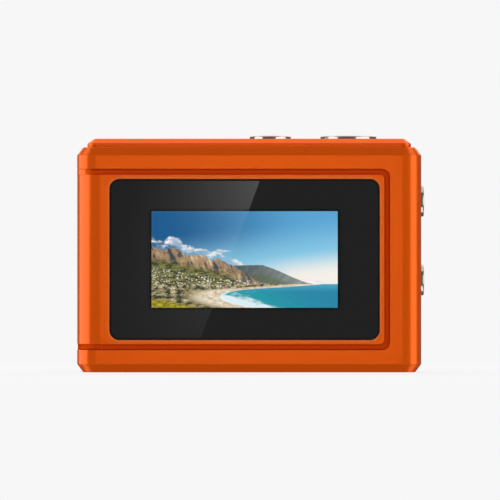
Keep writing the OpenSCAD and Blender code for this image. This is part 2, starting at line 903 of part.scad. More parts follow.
module port_door() {
    color(orange) difference() {
        union() {
            span([port_x, port_y0, port_z0], [port_in_x, port_y1, port_z1]);
            bar_z(port_pin_x, port_y1, port_z0, port_z1, knuckle_r);
        }
        bar_z(port_pin_x, port_y1, 0, far, pin_r + 0.03);
        span([-far, port_y0 - 1, 15.5], [port_x + 0.5, port_y0 + 1, 20.5]);
        span([port_in_x - 0.25, 0.6, 8.4], [port_in_x + 1, 5.4, 27.6]);
    }
}

module port_door_pin() {
    color(steel) bar_z(port_pin_x, port_y1, port_z0 - 1.1, port_z1 + 1.1, pin_r);
}

module port_door_seal() {
    color(rubber) difference() {
        span([port_in_x - 0.24, 0.65, 8.45], [port_recess_x - 0.02, 5.35, 27.55]);
        span([-far, 1.5, 9.3], [far, 5, 26.8]);
    }
}

module port_board() {
    color(green) span([-in_x + 0.3, 1.2, 8], [-23.4, 1.99, 30]);
}

module usb_port() {
    color(steel) difference() {
        span([port_recess_x + 0.01, 2, 9.5], [-23.8, 4.8, 17.3]);
        span([-far, 2.4, 9.9], [-24.8, 4.4, 16.9]);
    }
}

module hdmi_port() {
    color(steel) difference() {
        span([port_recess_x + 0.01, 2, 20], [-23.8, 4.6, 26.4]);
        span([-far, 2.35, 20.4], [-24.8, 4.25, 26]);
    }
}

module tripod_insert() {
    color(gold) translate([tripod_x, 0, 0]) ring(0.52, 6.98, tripod_r, insert_r);
}

rear_cover();
main_body();
top_plate();
front_plate();
screen_panel();
body_gasket();
case_screws();
small_screws();
cover_glass();
glass_mask();
display_panel();
backlight();
lcd_frame();
lcd_flex();
lens_ring();
ring_nut();
window_glass();
window_seal();
lens_barrel();
lens_element_1();
lens_element_2();
lens_holder();
image_sensor();
sensor_board();
lens_flex();
main_board();
processor();
heat_spreader();
speaker();
microphones();
led_pipe();
power_button();
power_plunger();
shutter_button();
shutter_plunger();
up_button();
up_plunger();
down_button();
down_plunger();
button_seals();
tact_switches();
top_switch_board();
side_switch_board();
battery();
battery_bay();
battery_contacts();
card_slot();
memory_card();
battery_door();
battery_door_pin();
battery_door_seal();
battery_latch();
port_door();
port_door_pin();
port_door_seal();
port_board();
usb_port();
hdmi_port();
tripod_insert();
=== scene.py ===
"""Looks of the action camera: materials, small details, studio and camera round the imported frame.

The frame is that of the CAD model: origin in the middle of the base, X to the right as seen from
the display, Y to the lens side, Z up. Blender's lengths are metres, and MM turns millimetres into
metres. The materials work in millimetres, apart from the reach of edges and bumps.
"""
import json
import math

import bmesh
import bpy
from mathutils import Matrix, Vector


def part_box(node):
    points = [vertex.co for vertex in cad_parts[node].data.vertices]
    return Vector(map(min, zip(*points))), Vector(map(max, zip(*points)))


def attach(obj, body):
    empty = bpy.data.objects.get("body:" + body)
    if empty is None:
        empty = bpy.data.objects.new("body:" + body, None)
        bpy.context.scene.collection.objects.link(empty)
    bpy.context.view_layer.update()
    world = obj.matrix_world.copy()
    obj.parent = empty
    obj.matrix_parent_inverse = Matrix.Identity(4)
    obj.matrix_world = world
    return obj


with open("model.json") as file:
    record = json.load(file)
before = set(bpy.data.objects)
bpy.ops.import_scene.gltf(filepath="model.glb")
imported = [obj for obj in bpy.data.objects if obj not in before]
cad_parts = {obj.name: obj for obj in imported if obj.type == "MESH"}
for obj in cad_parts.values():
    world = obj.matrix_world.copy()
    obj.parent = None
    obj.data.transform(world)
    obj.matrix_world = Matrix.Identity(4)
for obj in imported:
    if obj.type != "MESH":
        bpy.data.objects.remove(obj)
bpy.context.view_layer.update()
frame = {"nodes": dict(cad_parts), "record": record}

MM = 0.001
NODES = frame["nodes"]


def middle_and_half(node):
    """Middle and half size of a node's box, in millimetres."""
    low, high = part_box(node)
    return (low + high) / 2 / MM, (high - low) / 2 / MM


# ---------------------------------------------------------------- node graphs

class Graph:
    """Builds one material's node tree. Values are numbers, sockets or Num."""

    def __init__(self, name):
        self.material = bpy.data.materials.new(name)
        self.material.use_nodes = True
        self.tree = self.material.node_tree
        self.tree.nodes.clear()

    def add(self, kind, inputs=None, **settings):
        """A new node, with values or sockets for its inputs and settings for its properties."""
        node = self.tree.nodes.new("ShaderNode" + kind)
        for key, value in settings.items():
            setattr(node, key, value)
        for key, value in (inputs or {}).items():
            self.put(node.inputs[key], value)
        return node

    def put(self, socket, value):
        """Links a socket or a Num to an input, or sets the input to a plain value."""
        if isinstance(value, Num):
            value = value.socket
        if isinstance(value, bpy.types.NodeSocket):
            self.tree.links.new(value, socket)
        elif socket.type == "RGBA" and len(value) == 3:
            socket.default_value = (*value, 1)
        else:
            socket.default_value = value

    def math(self, operation, *values):
        return Num(self, self.add("Math", dict(enumerate(values)), operation=operation).outputs[0])

    def place(self):
        """Position in the frame, in millimetres."""
        where = self.add("TexCoord").outputs["Object"]
        scaled = self.add("VectorMath", {0: where}, operation="SCALE")
        scaled.inputs["Scale"].default_value = 1 / MM
        return scaled.outputs[0]

    def split(self, vector):
        parts = self.add("SeparateXYZ", {0: vector}).outputs
        return [Num(self, part) for part in parts]

    def join(self, x, y, z=0.0):
        return self.add("CombineXYZ", {0: x, 1: y, 2: z}).outputs[0]

    def noise(self, vector, scale, detail=2.0, rough=0.5, distortion=0.0):
        node = self.add("TexNoise", {"Vector": vector, "Scale": scale, "Detail": detail,
                                     "Roughness": rough, "Distortion": distortion})
        return Num(self, node.outputs[0])

    def cells(self, vector, scale):
        """Distance to the middle of the nearest of many scattered cells."""
        node = self.add("TexVoronoi", {"Vector": vector, "Scale": scale})
        return Num(self, node.outputs["Distance"])

    def step(self, value, low, high, to_low=0.0, to_high=1.0):
        """Smooth step of value from low to high."""
        node = self.add("MapRange", {"Value": value, "From Min": low, "From Max": high,
                                     "To Min": to_low, "To Max": to_high},
                        interpolation_type="SMOOTHSTEP")
        return Num(self, node.outputs[0])

    def blend(self, amount, a, b):
        """Colour a where amount is 0, colour b where it is 1."""
        node = self.add("Mix", data_type="RGBA")
        for socket, value in zip([i for i in node.inputs if i.enabled], (amount, a, b)):
            self.put(socket, value)
        return [o for o in node.outputs if o.enabled][0]

    def tint(self, colour, amount):
        """Colour times a factor."""
        node = self.add("VectorMath", {0: colour}, operation="SCALE")
        self.put(node.inputs["Scale"], amount)
        return node.outputs[0]

    def edge(self, radius):
        """1 along the edges of the mesh, 0 on its faces; the radius is in metres."""
        soft = self.add("Bevel", {"Radius": radius}, samples=4).outputs[0]
        flat = self.add("NewGeometry").outputs["True Normal"]
        dot = self.add("VectorMath", {0: soft, 1: flat}, operation="DOT_PRODUCT")
        return self.step(Num(self, dot.outputs["Value"]), 0.995, 0.86)

    def bump(self, height, distance, strength=1.0):
        """Normal of a relief as deep as distance, in metres."""
        return self.add("Bump", {"Height": height, "Distance": distance,
                                 "Strength": strength}).outputs[0]

    def surface(self, **inputs):
        """The Principled shader; names take underscores for spaces."""
        named = {key.replace("_", " "): value for key, value in inputs.items()}
        shader = self.add("BsdfPrincipled", named)
        output = self.add("OutputMaterial", {"Surface": shader.outputs[0]})
        output.is_active_output = True
        return self.material


class Num:
    """A number that a node gives, with arithmetic that adds Math nodes."""

    def __init__(self, graph, socket):
        self.graph, self.socket = graph, socket

    def __add__(self, other):
        return self.graph.math("ADD", self, other)

    def __radd__(self, other):
        return self.graph.math("ADD", other, self)

    def __sub__(self, other):
        return self.graph.math("SUBTRACT", self, other)

    def __rsub__(self, other):
        return self.graph.math("SUBTRACT", other, self)

    def __mul__(self, other):
        return self.graph.math("MULTIPLY", self, other)

    def __rmul__(self, other):
        return self.graph.math("MULTIPLY", other, self)

    def __truediv__(self, other):
        return self.graph.math("DIVIDE", self, other)


def srgb(red, green, blue):
    """Linear colour from the usual 0 to 255 values."""
    def linear(value):
        value /= 255
        return value / 12.92 if value <= 0.04045 else ((value + 0.055) / 1.055) ** 2.4
    return linear(red), linear(green), linear(blue)


# ---------------------------------------------------------------- materials

ORANGE = (0.86, 0.107, 0.002)
ORANGE_EDGE = (0.93, 0.16, 0.03)
# painted shade: darker orange for the floor of the panel's groove, less dark where it wraps round the
# left edge
ORANGE_GROOVE_SHADE = (0.49, 0.040, 0.0003)
ORANGE_GROOVE_SHADE_LEFT = (0.60, 0.064, 0.0006)
# painted highlight: paler orange for the lip round the glass
ORANGE_LIP_HIGHLIGHT = (0.76, 0.19, 0.045)
SEAM_SHADE = (0.085, 0.012, 0.0005)

# millimetres: the radius of the left edge that the panel wraps round, the groove round the panel
# and where its upper stretch runs out, and the corners of the glass and the display
WRAP_R = 4.2
GROOVE_WIDE = 1.0
GROOVE_DEEP = 0.6
GROOVE_RUNS_OUT = 1.4
GLASS_CORNER = 1.7
DISPLAY_CORNER = 0.3


def rounded_frame(g, place, node, corner):
    """Distance outside a node's outline with rounded corners, seen from the display side."""
    x, _, z = g.split(place)
    middle, half = middle_and_half(node)
    out_x = g.math("MAXIMUM", g.math("ABSOLUTE", x - middle.x) - (half.x - corner), 0.0)
    out_z = g.math("MAXIMUM", g.math("ABSOLUTE", z - middle.z) - (half.z - corner), 0.0)
    return g.math("SQRT", out_x * out_x + out_z * out_z) - corner


def groove_shade_mask(g, place):
    """1 on the floor of the panel's groove, which takes painted shade. The upper groove runs out on
    the left edge.
    """
    x, y, z = g.split(place)
    low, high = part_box("screen_panel")
    low, high = low / MM, high / MM
    wrap_x = low.x + WRAP_R
    in_x = g.math("MAXIMUM", wrap_x - x, 0.0)
    in_y = g.math("MAXIMUM", low.y + WRAP_R - y, 0.0)
    depth = WRAP_R - g.math("SQRT", in_x * in_x + in_y * in_y)
    floor = g.step(depth, GROOVE_DEEP - 0.3, GROOVE_DEEP - 0.1)
    upper, lower = high.z - GROOVE_WIDE, low.z + GROOVE_WIDE
    above = g.step(z, upper - 0.08, upper + 0.02)
    under = g.step(z, lower + 0.08, lower - 0.02)
    taper = x - g.math("ABSOLUTE", z - upper - GROOVE_WIDE / 2) * 1.5
    runs_out = low.x + GROOVE_RUNS_OUT
    above = above * g.step(taper, runs_out, runs_out + 0.6)
    wrap = g.math("MAXIMUM", above, under)
    left = g.step(x, wrap_x + 0.2, wrap_x)
    return g.math("MAXIMUM", floor * (1 - left), wrap * left)


def groove_and_seam(g, place, colour):
    """Panel colour and shine: painted shade in the groove, painted highlight on the lip round the
    glass, dark seam inside it.
    """
    low = groove_shade_mask(g, place)
    x = g.split(place)[0]
    panel_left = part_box("screen_panel")[0].x / MM
    left = g.step(x, panel_left + WRAP_R * 0.75, panel_left + WRAP_R * 0.35)
    # painted shade on the groove floor
    colour = g.blend(low, colour, g.blend(left, ORANGE_GROOVE_SHADE, ORANGE_GROOVE_SHADE_LEFT))
    lip = rounded_frame(g, place, "cover_glass", GLASS_CORNER)
    # painted highlight along the lip round the glass
    colour = g.blend(g.step(lip, 0.60, 0.20) * 0.6, colour, ORANGE_LIP_HIGHLIGHT)
    seam = g.step(lip, 0.14, 0.06)
    colour = g.blend(seam, colour, SEAM_SHADE)
    # the groove also loses gloss, which deepens its painted shade; the seam loses all of it
    shine = (1 - low * (0.75 + left * 0.25)) * (1 - seam)
    return colour, shine


def orange_shell(name, groove=False):
    """Pearl orange plastic with a fine moulded grain, and for the panel painted shade in its groove
    and a painted highlight round the glass.
    """
    g = Graph(name)
    p = g.place()
    cloud = g.noise(p, 0.12, 3)
    grain = g.noise(p, 9.0, 2, 0.6)
    fine = g.noise(p, 26.0, 2)
    edge = g.edge(0.00022)
    colour = g.tint(ORANGE, 0.97 + cloud * 0.06)
    colour = g.blend(edge * 0.35, colour, ORANGE_EDGE)
    shine = 1.0
    if groove:
        colour, shine = groove_and_seam(g, p, colour)
    return g.surface(
        Base_Color=colour, Metallic=shine * 0.5, Specular_Tint=(1.0, 0.8, 0.5, 1.0),
        Specular_IOR_Level=shine * 0.5,
        Roughness=0.235 + (1 - shine) * 0.35 + cloud * 0.03 + (fine - 0.5) * 0.08 - edge * 0.04,
        Normal=g.bump(grain * 0.7 + fine * 0.3, 0.000006, 0.5))


def grip_black():
    """Matt black with a fine leather-like grain."""
    g = Graph("grip_black_finish")
    p = g.place()
    pores = g.cells(p, 1.5)
    fine = g.noise(p, 14.0, 3, 0.6)
    cloud = g.noise(p, 0.2, 3)
    edge = g.edge(0.0002)
    colour = g.tint((0.0085, 0.0085, 0.0095), 0.7 + cloud * 0.3 + pores * 0.5)
    colour = g.blend(edge * 0.5, colour, (0.045, 0.045, 0.048))
    return g.surface(
        Base_Color=colour, Roughness=0.56 + (fine - 0.5) * 0.18 - edge * 0.12,
        Specular_IOR_Level=0.32,
        Normal=g.bump(pores * 0.8 + fine * 0.3, 0.00008, 0.8))


def turned_metal(name, colour, rough, centre=None, pitch=0.12, edge_wear_and_shade=(0.8, 0.8, 0.8),
                 strength=0.25):
    """Metal with turned rings round an axis, or rolled lines without one, and scratches.

    centre is the axis and its place in the other two directions, in millimetres.
    """
    g = Graph(name)
    p = g.place()
    x, y, z = g.split(p)
    if centre is None:
        lines = g.noise(g.join(x * 0.35, y * 0.35, z * 9.0), 1.0, 3, 0.6)
    else:
        axis, a0, b0 = centre
        a, b = {"x": (y, z), "y": (x, z), "z": (x, y)}[axis]
        radius = g.math("SQRT", (a - a0) * (a - a0) + (b - b0) * (b - b0))
        lines = g.noise(g.join(radius / pitch, 0.0, 0.0), 1.0, 3, 0.7)
    hair = g.noise(g.join(x * 0.6 + z * 3.1, y * 0.6, z * 0.5), 2.2, 4, 0.7, 0.6)
    scratch = g.step(hair, 0.62, 0.70)
    stain = g.noise(p, 0.5, 3)
    edge = g.edge(0.00015)
    body = g.tint(colour, 0.9 + stain * 0.2)
    # edges take the given edge colour: lighter real wear on most metals, darker painted shade on the
    # polished buttons
    body = g.blend(edge * 0.6, body, edge_wear_and_shade)
    return g.surface(
        Base_Color=body, Metallic=1.0,
        Roughness=rough + (lines - 0.5) * 0.10 + scratch * 0.06 + stain * 0.04,
        Normal=g.bump(lines + scratch * 0.3, 0.000004, strength))


PRINT_BLACK = (0.0022, 0.0022, 0.0024)


def cover_glass():
    """Clear over the display, opaque black round it, with a rim that has no gloss."""
    g = Graph("cover_glass_clear")
    p = g.place()
    smear = g.noise(p, 0.35, 4, 0.6, 0.5)
    rim = g.step(rounded_frame(g, p, "cover_glass", GLASS_CORNER), -0.32, -0.26)
    pane = rounded_frame(g, p, "display_panel", DISPLAY_CORNER)
    ink = g.blend(rim, PRINT_BLACK, (0.0100, 0.0095, 0.0095))
    return g.surface(
        Base_Color=g.blend(g.step(pane, -0.02, -0.10), ink, (0.97, 0.98, 1.0)),
        Transmission_Weight=g.step(pane, 0.06, 0.0), IOR=1.47,
        Specular_IOR_Level=0.5 - rim * 0.5,
        Roughness=g.step(smear, 0.5, 0.8, 0.0, 0.01),
        Normal=g.bump(g.noise(p, 0.1, 1), 0.000002, 0.1))


def lens_glass():
    """Optical glass with a violet-green coating."""
    g = Graph("lens_glass_coated")
    p = g.place()
    coat = g.noise(p, 0.15, 2)
    colour = g.blend(coat, (0.86, 0.94, 0.98), (0.95, 0.91, 0.99))
    return g.surface(
        Base_Color=colour, Transmission_Weight=1.0, IOR=1.5,
        Roughness=g.step(g.noise(p, 0.6, 3), 0.55, 0.8, 0.0, 0.015),
        Coat_Weight=0.2, Coat_Roughness=0.02, Coat_Tint=(0.78, 0.70, 1.0, 1.0))


def black_print():
    """Dead black ink behind the cover glass."""
    g = Graph("black_print_ink")
    p = g.place()
    speck = g.noise(p, 8.0, 3)
    return g.surface(
        Base_Color=g.tint(PRINT_BLACK, 0.8 + speck * 0.4),
        Roughness=0.5 + (speck - 0.5) * 0.1, Specular_IOR_Level=0.0,
        Normal=g.bump(speck, 0.000002, 0.2))


# ---------------------------------------------------------------- the display's picture
# u and v run from 0 to 1 across the picture and up it.

HORIZON = 0.245


def picture_sky(g, u, v):
    """Deep blue at the upper left, pale and warm near the horizon on the right."""
    height = (v - HORIZON) / (1 - HORIZON)
    clear = g.math("POWER", g.step(u, 0.0, 0.9), 1.35)
    sky = g.blend(clear, (0.0, 0.096, 0.262), (0.098, 0.375, 0.650))
    sky = g.blend(g.step(height + u * -0.35 + 0.1, 0.75, 0.05), sky, (0.27, 0.62, 0.80))
    warm = g.step(height - u * 0.30, 0.22, -0.16) * g.step(u, 0.35, 0.8)
    return g.blend(warm, sky, srgb(248, 242, 232))


def picture_clouds(g, u, v, skyline, picture):
    """Clouds that rest on the cliffs' skyline."""
    puff = g.noise(g.join(u * 5.6, v * 8.0, 1.3), 1.0, 6, 0.58, 0.3)
    band = g.math("ABSOLUTE", v - skyline - 0.05)
    cloud = g.step(puff - band * 3.0 - u * 0.20, 0.30, 0.42)
    lumps = g.noise(g.join(u * 11.0, v * 15.0, 4.0), 1.0, 5)
    light = g.step(lumps + (v - skyline) * 2.0, 0.45, 0.75)
    colour = g.blend(light, srgb(150, 176, 200), srgb(255, 250, 242))
    return g.blend(cloud * 0.95, picture, colour)


def picture_far_ridge(g, u, v, picture):
    """A flat-topped ridge in haze that runs down to the sea."""
    teeth = g.noise(g.join(u * 11.0, 9.1), 1.0, 4, 0.5)
    skyline = 0.445 - g.step(u, 0.56, 0.90) * 0.20
    skyline = skyline + (teeth - 0.5) * g.step(u, 0.95, 0.4, 0.01, 0.07)
    haze = g.blend(g.step(u, 0.45, 0.90), srgb(88, 100, 100), srgb(150, 158, 152))
    gully = g.noise(g.join(u * 40.0 - v * 12.0, v * 9.0), 1.0, 5, 0.6)
    haze = g.blend(g.step(gully, 0.42, 0.62), g.tint(haze, 0.82), g.tint(haze, 1.06))
    foot = g.step(v, skyline - 0.06, skyline - 0.13)
    haze = g.blend(foot * 0.6, haze, srgb(96, 104, 66))
    return g.blend(g.step(skyline - v, 0.0, 0.008), picture, haze)


def picture_cliffs(g, u, v, teeth, skyline, picture):
    """Near cliffs: lit flanks and blue gullies above, scrub on the slope below."""
    folds = g.noise(g.join(u * 27.0 + v * 5.0, v * 5.0, 6.0), 1.0, 6, 0.68)
    cliff = g.blend(g.step(folds, 0.43, 0.52), srgb(58, 62, 74), srgb(164, 134, 98))
    cliff = g.blend(g.step(folds, 0.54, 0.66), cliff, srgb(232, 204, 160))
    slope = g.noise(g.join(u * 26.0, v * 36.0, 2.0), 1.0, 6, 0.66)
    green = g.blend(g.step(slope, 0.40, 0.60), srgb(40, 50, 24), srgb(132, 128, 66))
    foot = skyline - 0.13 - (teeth - 0.5) * 0.16
    cliff = g.blend(g.step(foot - v, -0.05, 0.05), cliff, green)
    cliff = g.blend(g.step(u, 0.30, 0.75) * 0.5, cliff, srgb(120, 122, 108))
    return g.blend(g.step(skyline - v, 0.0, 0.008), picture, cliff)


def picture_town(g, u, v):
    """1 on the houses, pale specks along the lower slope."""
    spot = g.cells(g.join(u * 96.0, v * 62.0), 1.0)
    pick = g.noise(g.join(u * 30.0, v * 30.0, 8.0), 1.0, 3)
    crown = 0.44 - u * 0.26
    town = g.step(spot, 0.48, 0.30) * g.step(pick, 0.44, 0.54)
    return town * g.step(v, 0.16, 0.22) * g.step(v, crown, crown - 0.05) * g.step(u, 0.66, 0.55)


def picture_beach(g, u, v, shore):
    """Sand along the water, with scrub further back."""
    ground = g.noise(g.join(u * 30.0, v * 32.0, 3.0), 1.0, 6, 0.66)
    sand = g.blend(g.step(ground, 0.35, 0.65), srgb(196, 176, 144), srgb(244, 232, 208))
    scrub = g.blend(g.step(ground, 0.44, 0.56), srgb(46, 54, 30), srgb(168, 152, 108))
    scrub = g.blend(g.step(ground, 0.60, 0.66), scrub, srgb(236, 226, 206))
    return g.blend(g.step(shore - u + (ground - 0.5) * 0.3, 0.10, 0.20), sand, scrub)


def picture_sea(g, u, v, shore):
    """Rippled sea, with foam off the beach and a line of surf along it."""
    ripple = g.noise(g.join(u * 16.0, v * 110.0), 1.0, 5, 0.6)
    sea = g.blend(g.step(u + v * 0.8, 0.45, 1.05), (0.012, 0.35, 0.38), (0.016, 0.235, 0.38))
    sea = g.blend(g.step(v, 0.15, HORIZON), sea, (0.06, 0.36, 0.50))
    sea = g.tint(sea, 0.82 + ripple * 0.36)
    curls = g.noise(g.join(u * 16.0, v * 20.0, 5.0), 1.0, 5, 0.6)
    foam = g.step(u - shore, 0.27, 0.0) * g.step(v, 0.22, 0.05)
    foam = g.step(foam + (curls - 0.5) * 1.3, 0.24, 0.66)
    sea = g.blend(foam * 0.92, sea, srgb(232, 246, 250))
    return g.blend(g.step(u - shore, 0.022, 0.004) * 0.85, sea, srgb(240, 246, 246))


def picture_grass(g, u, v, wave, picture):
    """Grass in the near corner."""
    tuft = g.noise(g.join(u * 34.0, v * 50.0, 7.0), 1.0, 5, 0.7)
    grass = g.blend(g.step(tuft, 0.35, 0.65), srgb(86, 84, 16), srgb(196, 178, 40))
    rise = 0.10 - u * 0.34 + (wave - 0.5) * 0.06
    return g.blend(g.step(rise - v, -0.004, 0.012), picture, grass)


def coast(g, u, v):
    """A made-up coast: sky, clouds, a ridge that runs down to the sea, a bay."""
    teeth = g.noise(g.join(u * 13.0, 3.7), 1.0, 5, 0.62)
    skyline = 0.63 - g.step(u, 0.0, 0.50) * 0.16 - g.step(u, 0.38, 0.66) * 0.26
    skyline = skyline + (teeth - 0.5) * g.step(u, 0.75, 0.1, 0.04, 0.20)
    picture = picture_sky(g, u, v)
    picture = picture_clouds(g, u, v, skyline, picture)
    picture = picture_far_ridge(g, u, v, picture)
    picture = picture_cliffs(g, u, v, teeth, skyline, picture)
    town = picture_town(g, u, v)
    picture = g.blend(town * 0.9, picture, srgb(246, 238, 222))

    wave = g.noise(g.join(u * 7.0, v * 9.0, 5.0), 1.0, 4)
    bay = g.math("ABSOLUTE", v - 0.11)
    shore = 0.37 + bay * bay * 14.0 + g.step(v, 0.17, HORIZON) * 0.28 + (wave - 0.5) * 0.05
    below = g.step(v, HORIZON + 0.004, HORIZON - 0.004)
    picture = g.blend(below * (1 - town * 0.8), picture, picture_beach(g, u, v, shore))
    wet = below * g.step(u - shore, -0.004, 0.006)
    picture = g.blend(wet, picture, picture_sea(g, u, v, shore))
    return picture_grass(g, u, v, wave, picture)


# how much of the panel's edge the black print covers, in millimetres
PICTURE_MARGIN = 0.3


def lit_picture():
    """The display's lit picture, with a faint grain of pixels."""
    g = Graph("lit_picture_coast")
    middle, half = middle_and_half("display_panel")
    wide, tall = 2 * (half.x - PICTURE_MARGIN), 2 * (half.z - PICTURE_MARGIN)
    x, _, z = g.split(g.place())
    u = (x - (middle.x - wide / 2)) / wide
    v = (z - (middle.z - tall / 2)) / tall
    picture = coast(g, u, v)
    grain = g.noise(g.join(x * 16.0, z * 16.0), 1.0, 1)
    return g.surface(
        Base_Color=(0.004, 0.004, 0.005), Roughness=0.40 + (grain - 0.5) * 0.06,
        Specular_IOR_Level=0.08,
        Emission_Color=g.tint(picture, 0.97 + grain * 0.06), Emission_Strength=1.06)


# ---------------------------------------------------------------- materials of the other parts

def plain(name, colour, rough, grain=6.0, spread=0.25, **more):
    """Moulded or rolled stuff: cloudy colour, fine grain, lighter edges."""
    g = Graph(name)
    p = g.place()
    cloud = g.noise(p, 0.45, 4, 0.6)
    fine = g.noise(p, grain, 3, 0.6)
    edge = g.edge(0.00012)
    body = g.tint(colour, 1 - spread / 2 + cloud * spread)
    body = g.blend(edge * 0.5, body, [min(1, c * 1.8 + 0.01) for c in colour])
    return g.surface(
        Base_Color=body, Roughness=rough + (fine - 0.5) * 0.16 + (cloud - 0.5) * 0.08,
        Normal=g.bump(fine, 0.00001, 0.5), **more)


def board_green():
    """Solder mask over copper traces, with gold pads."""
    g = Graph("board_green_mask")
    p = g.place()
    x, y, z = g.split(p)
    grid = g.noise(g.join(g.math("SNAP", x, 0.6), g.math("SNAP", z, 0.6), y), 1.7, 0)
    across = g.math("PINGPONG", x, 0.5)
    along = g.math("PINGPONG", z, 0.5)
    track = g.step(grid, 0.49, 0.50) * g.step(across, 0.16, 0.12)
    track = g.math("MAXIMUM", track, g.step(grid, 0.51, 0.50) * g.step(along, 0.16, 0.12))
    pads = g.step(g.cells(p, 0.8), 0.30, 0.26) * g.step(grid, 0.56, 0.58)
    cloud = g.noise(p, 0.5, 3)
    colour = g.tint((0.010, 0.075, 0.034), 0.85 + cloud * 0.3)
    colour = g.blend(track * 0.8, colour, (0.020, 0.150, 0.060))
    colour = g.blend(pads, colour, (0.75, 0.50, 0.16))
    return g.surface(
        Base_Color=colour, Metallic=pads * 0.9, Roughness=0.36 - pads * 0.08 + (cloud - 0.5) * 0.1,
        Normal=g.bump(track + pads * 0.5, 0.00002, 0.5))


# half the height of the grey band, in millimetres
BATTERY_BAND = 5.1


def battery_wrap():
    """Dark shrink film with a soft sheen and a plain grey band."""
    g = Graph("battery_wrap_film")
    p = g.place()
    x, y, z = g.split(p)
    middle = middle_and_half("battery")[0]
    band = g.step(g.math("ABSOLUTE", z - middle.z), BATTERY_BAND + 0.1, BATTERY_BAND)
    wrinkle = g.noise(g.join(x * 0.4, y * 0.4, z * 2.4), 1.0, 4, 0.6, 0.4)
    colour = g.blend(band, (0.020, 0.021, 0.026), (0.20, 0.21, 0.22))
    colour = g.tint(colour, 0.9 + wrinkle * 0.2)
    return g.surface(
        Base_Color=colour, Roughness=0.32 + (wrinkle - 0.5) * 0.2, Coat_Weight=0.3,
        Coat_Roughness=0.15, Normal=g.bump(wrinkle, 0.00004, 0.5))


def sensor_die():
    """Shimmering chip inside a dark rim."""
    g = Graph("sensor_die_grid")
    p = g.place()
    x, _, z = g.split(p)
    middle, half = middle_and_half("image_sensor")
    out_x = g.math("ABSOLUTE", x - middle.x) / half.x
    out_z = g.math("ABSOLUTE", z - middle.z) / half.z
    rim = g.step(g.math("MAXIMUM", out_x, out_z), 0.80, 0.82)
    shimmer = g.noise(p, 0.8, 2)
    die = g.blend(shimmer, (0.05, 0.12, 0.22), (0.14, 0.07, 0.20))
    colour = g.blend(rim, die, (0.03, 0.03, 0.035))
    return g.surface(
        Base_Color=colour, Metallic=0.3, Roughness=0.16 + rim * 0.4 + (shimmer - 0.5) * 0.05,
        Normal=g.bump(rim, 0.00003, 0.5))


lens_middle = middle_and_half("lens_ring")[0]

BRIGHT = (0.88, 0.88, 0.90)
FINISH = {
    "orange_shell": orange_shell("orange_shell_pearl"),
    "grip_black": grip_black(),
    "lens_metal": turned_metal("lens_metal_anodised", (0.035, 0.035, 0.038), 0.30,
                               ("y", lens_middle.x, lens_middle.z), 0.10,
                               (0.32, 0.32, 0.33), 0.5),
    "cover_glass": cover_glass(),
    "black_print": black_print(),
    "lit_picture": lit_picture(),
    "white_diffuser": plain("white_diffuser_sheet", (0.82, 0.83, 0.85), 0.5),
    "lens_glass": lens_glass(),
    "lamp_pipe": plain("lamp_pipe_frosted", (0.30, 0.29, 0.27), 0.30, Subsurface_Weight=0.4,
                       Subsurface_Scale=0.0005),
    "black_barrel": plain("black_barrel_matt", (0.012, 0.012, 0.013), 0.55),
    "sensor_die": sensor_die(),
    "board_green": board_green(),
    "flex_amber": plain("flex_amber_film", (0.42, 0.17, 0.020), 0.28, Coat_Weight=0.4),
    "chip_black": plain("chip_black_resin", (0.018, 0.018, 0.020), 0.50, grain=10.0),
    "plain_steel": turned_metal("plain_steel_sheet", (0.52, 0.52, 0.53), 0.30, edge_wear_and_shade=BRIGHT),
    "spreader_aluminium": turned_metal("spreader_aluminium_sheet", (0.62, 0.62, 0.64), 0.36,
                                       edge_wear_and_shade=BRIGHT),
    "brass_insert": turned_metal("brass_insert_turned", (0.66, 0.44, 0.15), 0.26,
                                 edge_wear_and_shade=(0.90, 0.72, 0.38)),
    "rubber_seal": plain("rubber_seal_silicone", (0.020, 0.020, 0.021), 0.75, spread=0.4),
    "inner_plastic": plain("inner_plastic_grain", (0.020, 0.020, 0.022), 0.48),
    "battery_wrap": battery_wrap(),
}


def chrome(node):
    """Polished button with faint turned rings round its own axis, and painted shade along its edges.
    """
    middle = middle_and_half(node)[0]
    top = node in ("power_button", "shutter_button")
    centre = ("z", middle.x, middle.y) if top else ("x", middle.y, middle.z)
    # the dark edge colour is painted shade, standing in for the dark outline that the buttons' rims
    # reflect
    return turned_metal(node + "_chrome", (0.64, 0.595, 0.57), 0.15, centre, 0.07,
                        (0.36, 0.33, 0.31), 0.30)


SLOT_OF = {part["node"]: part["material_slot"] for part in frame["record"]["subparts"]}


def finish_of(node):
    """A node's material: its slot's, or one of its own for the buttons and the panel."""
    if SLOT_OF[node] == "chrome_button":
        return chrome(node)
    if node == "screen_panel":
        return orange_shell("screen_panel_pearl", groove=True)
    return FINISH[SLOT_OF[node]]


# ---------------------------------------------------------------- soft edges on the CAD nodes

WELD = 2e-6
FLAT_ANGLE = math.radians(0.4)
SHARP_ANGLE = math.radians(28)
SOFT_DEFAULT = 0.05
SOFT_MM = {
    "rear_cover": 0.08, "main_body": 0.10, "top_plate": 0.12, "screen_panel": 0.03,
    "front_plate": 0.12, "lens_ring": 0.12, "battery_door": 0.10, "port_door": 0.10,
    "battery_latch": 0.08, "cover_glass": 0.06, "power_button": 0.08, "shutter_button": 0.08,
    "up_button": 0.08, "down_button": 0.08, "battery": 0.12, "glass_mask": 0.0,
    "display_panel": 0.0, "backlight": 0.0, "lcd_flex": 0.02, "lens_flex": 0.02,
    "window_seal": 0.04, "lens_element_1": 0.0, "lens_element_2": 0.0, "window_glass": 0.06,
}


